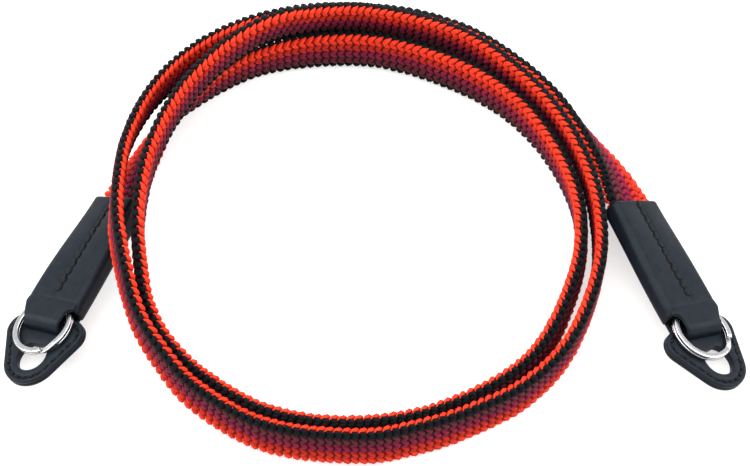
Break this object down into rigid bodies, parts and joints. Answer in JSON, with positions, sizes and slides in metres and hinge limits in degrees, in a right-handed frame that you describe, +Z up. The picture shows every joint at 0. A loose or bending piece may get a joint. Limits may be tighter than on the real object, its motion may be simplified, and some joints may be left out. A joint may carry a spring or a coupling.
{
  "type": "braided camera strap",
  "caption": "Flat braided camera strap standing on edge in a coil, with leather end sleeves, split rings and leather ring guards.",
  "frame": {"origin": "centre of the bounding box's base, on the surface that the coil stands on", "axes": "+X from the left end of the strap to the right end, +Y away from the ends' rings, +Z up"},
  "size_m": [0.1686, 0.1141, 0.0269],
  "materials": {
    "braid": "knitted yarn in orange, red, burgundy and black columns",
    "leather": "smooth black, soft sheen",
    "steel": "polished"
  },
  "bodies": {
    "root": {"strap_band": "braid", "left_sleeve": "leather", "left_ring_guard": "leather", "left_split_ring": "steel", "right_sleeve": "leather", "right_ring_guard": "leather", "right_split_ring": "steel"}
  },
  "joints": []
}
